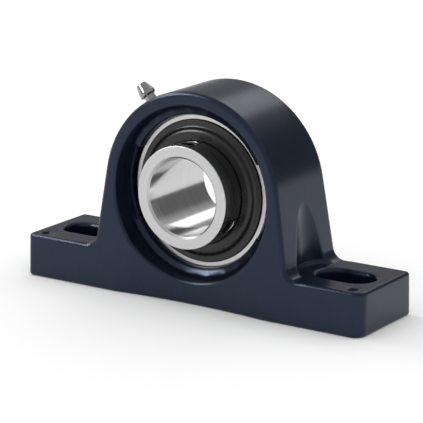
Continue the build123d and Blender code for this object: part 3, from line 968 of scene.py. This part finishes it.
def cut(piece: bpy.types.Object, cutters: Sequence[bpy.types.Object]) -> bpy.types.Object:
    """Cut bodies out of a piece.

    Args:
        piece: The piece, which is used up.
        cutters: What is cut out, which is used up as well.

    Returns:
        The cut piece.
    """
    name = piece.name
    piece.modifiers.clear()
    for cutter in cutters:
        cutter.modifiers.clear()
        knife = piece.modifiers.new("cut", "BOOLEAN")
        knife.operation = "DIFFERENCE"
        knife.solver = "EXACT"
        knife.object = cutter
    mesh = bpy.data.meshes.new_from_object(piece.evaluated_get(bpy.context.evaluated_depsgraph_get()))
    for used in (piece, *cutters):
        bpy.data.objects.remove(used)
    return smoothed(name, [mesh], crease=30.0)


def merged_copy(node: str, name: str, crease: float = 32.0) -> bpy.types.Object:
    """A copy of a CAD node with its loose triangles joined and its curved faces smooth.

    Args:
        node: The CAD node's name.
        name: The new piece's name.
        crease: The angle in degrees from which an edge stays sharp.

    Returns:
        The new object, at the origin.
    """
    work = bmesh.new()
    work.from_mesh(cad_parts[node].data)
    join_up(work)
    return as_piece(work, name, crease)


def settle(piece: bpy.types.Object, body: str, finish: Finish, *nodes: str,
           others: Sequence[Finish] = (), chooser: Callable[[Vector, Vector], int] | None = None) -> None:
    """Give a piece its materials, let it ride on its body and stand for its CAD nodes.

    Args:
        piece: The piece.
        body: The body it moves with.
        finish: Its usual finish.
        *nodes: The CAD nodes it stands for.
        others: Its other finishes.
        chooser: Picks a finish's number from a face's centre and normal.
    """
    piece.data.materials.clear()
    for coat in (finish, *others):
        piece.data.materials.append(coat.material())
    for face in piece.data.polygons:
        face.material_index = chooser(face.center, face.normal) if chooser else 0
    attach(piece, body)
    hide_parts(*nodes)
    log.info("%s rides on %s with %d faces", piece.name, body, len(piece.data.polygons))


def add_ball(name: str, radius: float, place: Matrix, body: str, node: str) -> None:
    """Make and settle a steel ball.

    Args:
        name: The piece's name.
        radius: Its radius in millimetres.
        place: Where it goes.
        body: The body it moves with.
        node: The CAD node it stands for.
    """
    ball = smoothed(name, [RoundBall.make(BALL_STEEL, Radius=radius * MM)], place, crease=60.0)
    settle(ball, body, BALL_STEEL, node)


def coat_node(node: str, finish: Finish) -> None:
    """Give its finish to a CAD node that keeps its own mesh.

    Args:
        node: The node's name.
        finish: The finish.
    """
    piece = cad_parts[node]
    piece.data.materials.clear()
    piece.data.materials.append(finish.material())
    log.info("%s keeps its CAD mesh", node)


# Sub-assemblies, with sizes in millimetres and angles in degrees


@dataclass
class CastHousing:
    """The casting with its feet, pockets and seat."""

    crease: float = 32.0
    flat_area: float = 200.0
    shallow_crease: float = 4.0
    recess_radius: float = 38.5
    recess_flare: float = 16.0
    wall_slack: float = 7.0
    same_plane: float = 0.2
    seat_half: float = 9.5

    def even_recess(self, piece: bpy.types.Object) -> None:
        """Give the turned wall of the recess the even shading of a turned face.

        Args:
            piece: The housing.
        """
        mesh = bpy.data.meshes.new_from_object(piece.evaluated_get(bpy.context.evaluated_depsgraph_get()))
        piece.modifiers.clear()
        piece.data = mesh
        normals = [corner.vector.copy() for corner in mesh.corner_normals]
        flare = math.radians(self.recess_flare)
        wall: dict[int, Vector] = {}
        for face in mesh.polygons:
            across, side = face.center - SHAFT_CENTRE, math.copysign(1.0, face.center.y)
            outside = math.hypot(across.x, across.z) > self.recess_radius * MM
            if outside or abs(across.y) < self.seat_half * MM:
                continue
            for number in face.vertices:
                spot = mesh.vertices[number].co - SHAFT_CENTRE
                ray = Vector((spot.x, 0.0, spot.z)).normalized()
                even = Vector((0.0, side * math.sin(flare), 0.0)) - ray * math.cos(flare)
                if face.normal.angle(even, NO_ANGLE) < math.radians(self.wall_slack):
                    wall[number] = even
        for face in mesh.polygons:
            for index, number in zip(face.loop_indices, face.vertices):
                even = wall.get(number)
                if even is not None and face.normal.angle(even, NO_ANGLE) < math.radians(self.crease):
                    normals[index] = even
        mesh.normals_split_custom_set(normals)

    def keep_creases(self, mesh: bpy.types.Mesh) -> None:
        """Keep the shallow creases sharp where two large flat faces meet, as at the feet.

        Args:
            mesh: The housing's mesh.
        """
        work = bmesh.new()
        work.from_mesh(mesh)
        plane = math.radians(self.same_plane)
        region: dict[int, int] = {}
        areas: list[float] = []
        for seed in work.faces:
            if seed.index in region:
                continue
            region[seed.index] = len(areas)
            area, heap = 0.0, [seed]
            while heap:
                face = heap.pop()
                area += face.calc_area()
                for edge in face.edges:
                    for other in edge.link_faces:
                        if other.index not in region and other.normal.angle(seed.normal, NO_ANGLE) < plane:
                            region[other.index] = len(areas)
                            heap.append(other)
            areas.append(area / MM**2)
        for edge in work.edges:
            if len(edge.link_faces) == 2:
                one, two = (region[face.index] for face in edge.link_faces)
                flat = min(areas[one], areas[two]) > self.flat_area
                if one != two and flat and edge.calc_face_angle(0.0) > math.radians(self.shallow_crease):
                    edge.smooth = False
        work.to_mesh(mesh)
        work.free()

    def build(self) -> None:
        """Make and dress the housing."""
        piece = merged_copy("housing", "cast_housing", self.crease)
        self.keep_creases(piece.data)
        self.even_recess(piece)
        settle(piece, "housing", PAINT, "housing")


@dataclass
class OuterRing:
    """Outer ring with a spherical outside, a raceway, two seal bores and two grease holes."""

    radius: float = 31.0
    half_width: float = 9.0
    chamfer: float = 0.4
    seal_bore: float = 27.76
    seal_depth: float = 2.7
    shoulder: float = 26.3
    grease_hole: float = 0.8
    grease_angles: tuple[float, float] = (NIPPLE_ANGLE, NIPPLE_ANGLE + 180.0)
    grease_behind: float = 5.0
    drill_from: float = 20.0
    drill_to: float = 40.0

    def outline(self) -> Outline:
        """The ring's section.

        Returns:
            Its closed outline.
        """
        face = self.half_width
        rim = math.sqrt(self.radius**2 - face**2) - self.chamfer
        shelf = face - self.seal_depth
        heights = spaced(face - self.chamfer, self.chamfer - face, count=17)
        outside = [(math.sqrt(self.radius**2 - y**2), y) for y in heights]
        return [(self.seal_bore, face), (rim, face), *outside, (rim, -face), (self.seal_bore, -face),
                (self.seal_bore, -shelf), (self.shoulder, -shelf), *raceway(self.shoulder, sign=1.0),
                (self.shoulder, shelf), (self.seal_bore, shelf)]

    def build(self) -> None:
        """Make and dress the ring."""
        ring = turned(self.outline(), OUTER_STEEL, segments=180)
        piece = smoothed("outer_ring_steel", [ring], Side.FRONT.place())
        pin = [(0.0, self.drill_from), (self.grease_hole, self.drill_from),
               (self.grease_hole, self.drill_to), (0.0, self.drill_to)]
        drills = []
        for angle in self.grease_angles:
            place = outward(angle, 0.0, -self.grease_behind)
            drills.append(smoothed("grease_drill", [turned(pin, OUTER_STEEL, segments=20)], place))
        piece = cut(piece, drills)
        settle(piece, "insert", OUTER_STEEL, "outer_ring")


@dataclass
class Seals:
    """Rubber seals with their steel plates, at the front and the rear of the outer ring."""

    outside: float = 27.72
    low: float = 6.34
    high: float = 8.0
    plate_hole: float = 21.6
    plate_sheet: float = 0.6
    plate_edge: float = 0.15
    lip: float = 19.9
    lip_edge: float = 0.5
    lip_root: float = 0.3
    lip_nose: float = 0.15
    lip_back: float = 0.1

    def build(self) -> None:
        """Make and dress both seals."""
        rubber = [(self.outside, self.low), (self.outside, self.high), (self.plate_hole, self.high),
                  (self.lip, self.low + self.lip_edge), (self.lip, self.low)]
        top = self.high + self.plate_sheet
        plate = [(self.outside, self.high), (self.outside, top),
                 (self.plate_hole, top), (self.plate_hole, self.high)]
        rubber = rounded(rubber, {2: self.lip_root, 3: self.lip_nose, 4: self.lip_back})
        plate = rounded(plate, {1: self.plate_edge, 2: self.plate_edge})
        for side in Side:
            piece = smoothed(side.called("rubber_seal"), [turned(rubber, SEAL_RUBBER)], side.place())
            settle(piece, "insert", SEAL_RUBBER, side.called("seal_lip"))
            piece = smoothed(side.called("seal_disc"), [turned(plate, SEAL_PLATE)], side.place())
            settle(piece, "insert", SEAL_PLATE, side.called("seal_plate"))


@dataclass
class InnerRing:
    """Inner ring whose long front end is the collar, with two tapped holes."""

    bore: float = 15.0
    outside: float = 19.85
    front: float = 22.2
    rear: float = 15.9
    bore_chamfer: float = 0.8
    edge_round: float = 0.4
    hole_radius: float = 3.0
    hole_mouth: float = 0.35
    hole_slack: float = 0.02
    bore_slack: float = 1.0
    end_face: float = 0.5
    drill_from: float = 10.0
    drill_to: float = 24.0

    def outline(self) -> Outline:
        """The ring's section.

        Returns:
            Its closed outline.
        """
        groove = raceway(self.outside, sign=-1.0)
        inset = self.bore_chamfer
        points = [(self.bore + inset, self.front), (self.outside, self.front), *groove,
                  (self.outside, -self.rear), (self.bore + inset, -self.rear),
                  (self.bore, inset - self.rear), (self.bore, self.front - inset)]
        return rounded(points, {1: self.edge_round, len(groove) + 2: self.edge_round})

    def drill(self, angle: float) -> bpy.types.Object:
        """The cutter for one hole with its chamfered mouth.

        Args:
            angle: The hole's direction.

        Returns:
            The cutter.
        """
        wide = self.hole_radius + self.hole_mouth
        low = self.outside - self.hole_mouth
        outline = [(0.0, self.drill_from), (self.hole_radius, self.drill_from), (self.hole_radius, low),
                   (wide, low + 2 * self.hole_mouth), (wide, self.drill_to), (0.0, self.drill_to)]
        place = outward(angle, 0.0, SCREW_AHEAD)
        return smoothed("screw_drill", [turned(outline, COLLAR, segments=48)], place)

    def choose(self, centre: Vector, normal: Vector) -> int:
        """Pick the finish of one face of the ring.

        Args:
            centre: The face's centre.
            normal: The face's normal.

        Returns:
            0 for end faces, 1 for the bore, 2 for the outside, 3 for the holes.
        """
        radius = math.hypot(centre.x, centre.z - AXIS_HEIGHT)
        for angle in SCREW_ANGLES:
            middle = outward(angle, 0.0, SCREW_AHEAD).inverted() @ centre
            reach = (self.hole_radius + self.hole_slack) * MM
            if math.hypot(middle.x, middle.y) < reach and self.bore * MM < radius:
                return 3
        if abs(normal.y) > self.end_face:
            return 0
        return 1 if radius < (self.bore + self.bore_slack) * MM else 2

    def build(self) -> None:
        """Make and dress the ring."""
        ring = turned(self.outline(), RING_FACE, segments=192)
        piece = smoothed("inner_ring_steel", [ring], Side.FRONT.place(), crease=28.0)
        piece = cut(piece, [self.drill(angle) for angle in SCREW_ANGLES])
        settle(piece, "shaft_ring", RING_FACE, "inner_ring",
               others=(RING_BORE, COLLAR, TAPPED_HOLE_SHADE), chooser=self.choose)


@dataclass
class Flingers:
    """Pressed discs on the inner ring: hub, raised face, cone and outer rim."""

    hub: float = 19.87
    face_width: float = 3.65
    cone_width: float = 1.5
    rim_width: float = 2.4
    rim_front: float = 9.8
    rise: float = 1.7
    hub_length: float = 2.0
    sheet: float = 0.6
    hub_bend: float = 0.7
    bend: float = 1.5
    rim_edge: float = 0.2
    hub_back: float = 0.15

    def outline(self) -> Outline:
        """The sheet's section.

        Returns:
            Its front line and then its back line.
        """
        face = self.rim_front + self.rise
        step = self.hub + self.face_width
        cone = step + self.cone_width
        slope = math.atan2(self.rise, self.cone_width)
        shift = self.sheet * math.tan(slope / 2)
        inside = self.hub + self.sheet
        rim, back = cone + self.rim_width, self.rim_front - self.sheet
        points = [(self.hub, face - self.hub_length), (self.hub, face), (step, face), (cone, self.rim_front),
                  (rim, self.rim_front), (rim, back), (cone - shift, back), (step - shift, face - self.sheet),
                  (inside, face - self.sheet), (inside, face - self.hub_length)]
        outer = self.bend + self.sheet
        bends = {1: self.hub_bend, 2: outer, 3: self.bend, 4: self.rim_edge,
                 6: outer, 7: self.bend, 8: self.hub_back}
        return rounded(points, bends, steps=7)

    def build(self) -> None:
        """Make and dress both flingers."""
        for side in Side:
            disc = turned(self.outline(), FLINGER_COAT, segments=180)
            piece = smoothed(side.called("flinger_disc"), [disc], side.place(), crease=40.0)
            settle(piece, "shaft_ring", FLINGER_COAT, side.called("flinger"))


@dataclass
class BallSet:
    """Balls and the riveted cage between the rings."""

    count: int = 9
    rivet_shank: float = 0.8
    rivet_head: float = 1.4
    rivet_head_height: float = 0.5
    sheet: float = 0.8

    def build(self) -> None:
        """Make and dress the balls, the cage and its rivets."""
        for index in range(self.count):
            node = f"ball_{index + 1}"
            place = outward(TOP - index * 360.0 / self.count, PITCH_RADIUS)
            add_ball(f"{node}_steel", BALL_RADIUS, place, node, node)
        for node in ("cage_front_half", "cage_rear_half"):
            piece = merged_copy(node, f"{node}_ribbon")
            settle(piece, "cage", CAGE_STEEL, node)
        rivets = RivetRow.make(
            CAGE_STEEL, Count=self.count, Circle_Radius=PITCH_RADIUS * MM, Shank=self.rivet_shank * MM,
            Head=self.rivet_head * MM, Head_Height=self.rivet_head_height * MM, Half_Grip=self.sheet * MM,
            Turn=math.radians(TOP + 180.0 / self.count))
        piece = smoothed("cage_rivet_row", [rivets], Side.FRONT.place())
        settle(piece, "cage", CAGE_STEEL, "cage_rivets")


@dataclass
class CollarScrews:
    """The two socket grub screws in the collar."""

    seat: float = 15.15
    length: float = 4.2
    core: float = 2.6
    outside: float = 2.96
    pitch: float = 1.0
    point: float = 0.9
    top_edge: float = 0.25
    socket: float = 3.0
    socket_depth: float = 2.2
    socket_cone: float = 0.5
    overshoot: float = 1.0

    def build(self) -> None:
        """Make and dress the screws."""
        body = rounded([(0.0, 0.0), (self.core - self.point, 0.0), (self.core, self.point),
                        (self.core, self.length), (0.0, self.length)], {3: self.top_edge})
        corner = hexagon_corner(self.socket)
        floor, top = self.length - self.socket_depth, self.length + self.overshoot
        hexagon = [(0.0, floor - self.socket_cone), (corner, floor), (corner, top), (0.0, top)]
        ridge = self.outside - self.core
        turns = (self.length - self.point - 2 * ridge) / self.pitch
        for index, angle in enumerate(SCREW_ANGLES):
            node = f"grub_screw_{index + 1}"
            place = outward(angle, self.seat, SCREW_AHEAD)
            core = smoothed(f"{node}_oxide", [turned(body, SCREW_OXIDE, segments=48)], place, crease=30.0)
            core = cut(core, [smoothed("socket", [turned(hexagon, SCREW_OXIDE, segments=6)], place)])
            thread = Coil.make(SCREW_OXIDE, Turns=turns, Radius=(self.outside - ridge) * MM,
                               Height=turns * self.pitch * MM, Wire=ridge * MM, Sides=3, Steps=48)
            thread.transform(place @ Matrix.Translation((0.0, 0.0, (self.point + ridge / 2) * MM)))
            name = core.name
            mesh = core.data.copy()
            bpy.data.objects.remove(core)
            piece = smoothed(name, [mesh, thread], crease=30.0)
            settle(piece, node, SCREW_OXIDE, node)


@dataclass
class GreaseNipple:
    """The nipple on the shoulder with its ball and spring."""

    seat: float = 38.75
    shank: float = 2.97
    shank_length: float = 5.0
    shank_edge: float = 0.4
    hexagon: float = 8.0
    hexagon_height: float = 2.2
    hexagon_foot: float = 0.2
    hexagon_chamfer: float = 0.6
    hexagon_drop: float = 0.45
    neck: float = 2.2
    neck_length: float = 2.8
    head: float = 3.25
    head_height: float = 5.3
    head_rim: float = 1.3
    tip: float = 2.1
    mouth: float = 0.8
    bore: float = 1.3
    lip: float = 0.5
    floor: float = -3.4
    neck_round: float = 0.5
    head_round: float = 0.35
    tip_round: float = 0.4
    ball_radius: float = 1.2
    ball_height: float = 8.876

    def outline(self) -> Outline:
        """The nipple's section without its hexagon.

        Returns:
            Its closed outline.
        """
        low = self.hexagon_height + self.neck_length
        top = low + self.head_height
        middle = self.hexagon_height / 2
        points = [(self.mouth, -self.shank_length), (self.shank, -self.shank_length), (self.shank, middle),
                  (self.neck, middle), (self.neck, low), (self.head, low), (self.head, low + self.head_rim),
                  (self.tip, top), (self.mouth, top), (self.mouth, top - self.lip),
                  (self.bore, top - self.lip), (self.bore, self.floor), (self.mouth, self.floor)]
        return rounded(points, {1: self.shank_edge, 4: self.neck_round, 5: self.head_round,
                                6: self.neck_round, 7: self.tip_round})

    def build(self) -> None:
        """Make and dress the nipple."""
        body = turned(self.outline(), NIPPLE_ZINC, segments=64)
        corner, foot = hexagon_corner(self.hexagon), self.hexagon_foot
        nut = [(self.neck, 0.0), (corner - foot, 0.0), (corner, foot),
               (corner, self.hexagon_height - self.hexagon_drop),
               (corner - self.hexagon_chamfer, self.hexagon_height), (self.neck, self.hexagon_height)]
        place = outward(NIPPLE_ANGLE, self.seat)
        nut_body = turned(nut, NIPPLE_ZINC, segments=6)
        piece = smoothed("nipple_zinc_body", [body, nut_body], place, crease=28.0)
        settle(piece, "housing", NIPPLE_ZINC, "nipple_body")
        place = outward(NIPPLE_ANGLE, self.seat + self.ball_height)
        add_ball("nipple_ball_steel", self.ball_radius, place, "check_ball", "nipple_check_ball")
        coat_node("nipple_spring", SPRING_WIRE)


# Floor, light and camera


class Role(Enum):
    """What a lamp is for."""

    LIGHT = "lights the object and shows in its gloss"
    SHINE = "only shows in its gloss"


@dataclass(frozen=True)
class Lamp:
    """A soft area lamp, placed by its direction from the middle of the bearing."""

    title: str
    azimuth: float
    elevation: float
    distance: float
    width: float
    height: float
    radiance: float
    role: Role = Role.LIGHT

    def build(self, aim: Vector) -> None:
        """Make the lamp.

        Args:
            aim: The point it looks at.
        """
        back = towards(self.azimuth, self.elevation)
        light = bpy.data.lights.new(self.title, "AREA")
        light.shape = "RECTANGLE"
        light.size, light.size_y = self.width, self.height
        light.energy = self.radiance * self.width * self.height * math.pi
        lamp = bpy.data.objects.new(self.title, light)
        lamp.location = aim + back * self.distance
        lamp.rotation_mode = "QUATERNION"
        lamp.rotation_quaternion = (-back).to_track_quat("-Z", "Y")
        lamp.visible_camera = False
        lamp.visible_diffuse = self.role is Role.LIGHT
        bpy.context.scene.collection.objects.link(lamp)


@dataclass(frozen=True)
class Patch:
    """A brighter or darker part of the surround, as gloss and bare metal mirror it."""

    azimuth: float
    elevation: float
    half_width: float
    half_height: float
    soft: float
    level: float

    def mask(self, graph: Graph, ray: bpy.types.NodeSocket) -> bpy.types.NodeSocket:
        """Where the patch is.

        Args:
            graph: The surround's tree.
            ray: The direction that is looked at.

        Returns:
            1 inside the patch and 0 outside.
        """
        quarter = 90.0
        axes = (towards(self.azimuth, self.elevation), towards(self.azimuth + quarter, 0.0),
                towards(self.azimuth, self.elevation + quarter))
        parts = []
        for axis in axes:
            dot = graph.add("ShaderNodeVectorMath", {0: ray, 1: axis}, operation="DOT_PRODUCT")
            parts.append(dot.outputs["Value"])
        turn = graph.math("ARCTAN2", parts[1], parts[0])
        rise = graph.math("ARCSINE", parts[2])
        mask = None
        for angle, half in ((turn, self.half_width), (rise, self.half_height)):
            inner = math.radians(half - self.soft / 2)
            outer = math.radians(half + self.soft / 2)
            side = graph.spread(graph.math("ABSOLUTE", angle), inner, outer, 1.0, 0.0)
            mask = side if mask is None else graph.math("MULTIPLY", mask, side)
        return mask


@dataclass
class Studio:
    """Pale floor, soft light and the photograph's camera."""

    azimuth: float = 33.74
    elevation: float = 14.81
    distance: float = 0.87303
    target: Vector = field(default_factory=lambda: Vector((-1.18, 0.0, 32.68)) * MM)
    focal: float = 2282.08
    frame_width: float = 423.0
    sensor: float = 36.0
    near: float = 0.01
    far: float = 50.0
    floor_half: float = 6.0
    lamps: tuple[Lamp, ...] = (
        Lamp("left softbox", -92.0, 38.0, 1.5, 0.34, 0.44, 9.5),
        Lamp("rear softbox", -170.0, 37.0, 1.5, 0.52, 0.30, 1.5),
        Lamp("front strip", -50.0, 31.0, 1.5, 0.60, 0.46, 13.0, Role.SHINE),
    )
    sky: float = 0.68
    surround: float = 0.55
    patches: tuple[Patch, ...] = (
        Patch(150.0, 16.0, 24.0, 18.0, 10.0, 0.16),
        Patch(-148.0, 14.0, 14.0, 13.0, 8.0, 0.32),
    )
    floor_colour: float = 0.9
    floor_glow: float = 0.30
    shade_reach: float = 0.09

    def seen_white(self, graph: Graph) -> bpy.types.NodeSocket:
        """Where a ray shows the white surround: straight from the camera, mirrored or through glass.

        Args:
            graph: The tree that asks.

        Returns:
            1 for such rays and 0 for those that light the object.
        """
        path = graph.add("ShaderNodeLightPath").outputs
        either = graph.math("MAXIMUM", path["Is Camera Ray"], path["Is Glossy Ray"])
        return graph.math("MAXIMUM", either, path["Is Transmission Ray"])

    def build_world(self) -> None:
        """Make the surround."""
        world = bpy.data.worlds.new("studio surround")
        bpy.context.scene.world = world
        world.use_nodes = True
        world.node_tree.nodes.clear()
        graph = Graph(world.node_tree)
        ray = graph.add("ShaderNodeTexCoord").outputs["Object"]
        mirrored = self.surround
        for patch in self.patches:
            mask = patch.mask(graph, ray)
            mirrored = graph.blend(mask, mirrored, patch.level)
        glossy = graph.add("ShaderNodeLightPath").outputs["Is Glossy Ray"]
        level = graph.blend(glossy, 1.0, mirrored)
        plain = graph.add("ShaderNodeBackground", {0: rgba(1, 1, 1), 1: self.sky})
        white = graph.add("ShaderNodeBackground", {0: rgba(1, 1, 1), 1: level})
        either = graph.add("ShaderNodeMixShader", {
            0: self.seen_white(graph), 1: plain.outputs[0], 2: white.outputs[0]})
        graph.add("ShaderNodeOutputWorld", {0: either.outputs[0]})

    def build_floor(self) -> None:
        """Make the floor, white apart from the shadow that the object casts on it and a painted shadow close
        to the object, where its glow fades with occlusion.
        """
        work = bmesh.new()
        square = [(-1, -1), (1, -1), (1, 1), (-1, 1)]
        verts = [work.verts.new((x * self.floor_half, y * self.floor_half, 0.0)) for x, y in square]
        work.faces.new(verts)
        mesh = bpy.data.meshes.new("pale_floor")
        work.to_mesh(mesh)
        work.free()
        floor = bpy.data.objects.new("pale_floor", mesh)
        bpy.context.scene.collection.objects.link(floor)
        material = bpy.data.materials.new("pale floor")
        material.use_nodes = True
        material.node_tree.nodes.clear()
        graph = Graph(material.node_tree)
        body = graph.add("ShaderNodeBsdfDiffuse", {"Color": rgba(*(self.floor_colour,) * 3)})
        # Near the object the floor's glow fades with occlusion: a painted contact shadow on the floor
        open_air = graph.add("ShaderNodeAmbientOcclusion", {"Distance": self.shade_reach}).outputs["AO"]
        seen = graph.math("MULTIPLY", self.seen_white(graph), open_air)
        glow = graph.math("MULTIPLY", seen, self.floor_glow)
        lift = graph.add("ShaderNodeEmission", {"Color": rgba(1, 1, 1), "Strength": glow})
        both = graph.add("ShaderNodeAddShader", {0: body.outputs[0], 1: lift.outputs[0]})
        graph.add("ShaderNodeOutputMaterial", {0: both.outputs[0]})
        mesh.materials.append(material)

    def build_camera(self) -> None:
        """Make the camera that was fitted to the photograph."""
        back = towards(self.azimuth, self.elevation)
        data = bpy.data.cameras.new("camera")
        data.sensor_width = self.sensor
        data.lens = self.focal * self.sensor / self.frame_width
        data.clip_start, data.clip_end = self.near, self.far
        camera = bpy.data.objects.new("camera", data)
        camera.location = self.target + back * self.distance
        camera.rotation_mode = "QUATERNION"
        camera.rotation_quaternion = (-back).to_track_quat("-Z", "Y")
        bpy.context.scene.collection.objects.link(camera)
        bpy.context.scene.camera = camera

    def build(self) -> None:
        """Make the whole studio."""
        self.build_world()
        self.build_floor()
        for lamp in self.lamps:
            lamp.build(SHAFT_CENTRE)
        self.build_camera()
        bpy.context.scene.view_settings.view_transform = "Standard"


def main() -> None:
    """Build every sub-assembly and the studio."""
    logging.basicConfig(level=logging.INFO, format="%(message)s")
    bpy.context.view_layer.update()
    parts = (CastHousing(), OuterRing(), Seals(), InnerRing(), Flingers(), BallSet(), CollarScrews(),
             GreaseNipple(), Studio())
    for part in parts:
        part.build()
        log.info("built %s", type(part).__name__)


if __name__ == "__main__":
    main()
